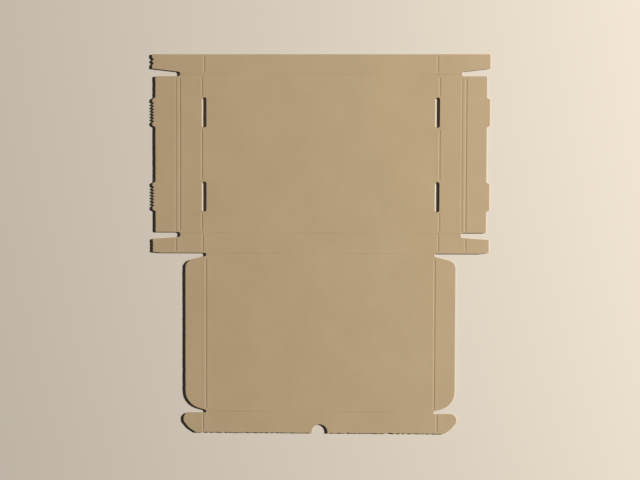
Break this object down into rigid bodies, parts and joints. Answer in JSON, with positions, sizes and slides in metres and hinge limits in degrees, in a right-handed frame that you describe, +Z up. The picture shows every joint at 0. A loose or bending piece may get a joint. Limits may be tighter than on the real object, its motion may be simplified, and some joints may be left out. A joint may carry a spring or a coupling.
{
  "type": "flattened cardboard box",
  "caption": "Die-cut corrugated mailer blank lying flat: base, roll-over side walls with tabs and slots, hinged lid and tuck flap with a thumb notch.",
  "frame": {"origin": "middle of the blank's bounding box, on its underside", "axes": "+Z up out of the inside face, +Y from the tuck flap towards the front wall, +X to the right of the inside face"},
  "size_m": [0.435, 0.4896, 0.0016],
  "materials": {
    "kraft_board": "matt brown kraft liner"
  },
  "bodies": {
    "root": {"mailer_blank": "kraft_board"}
  },
  "joints": []
}
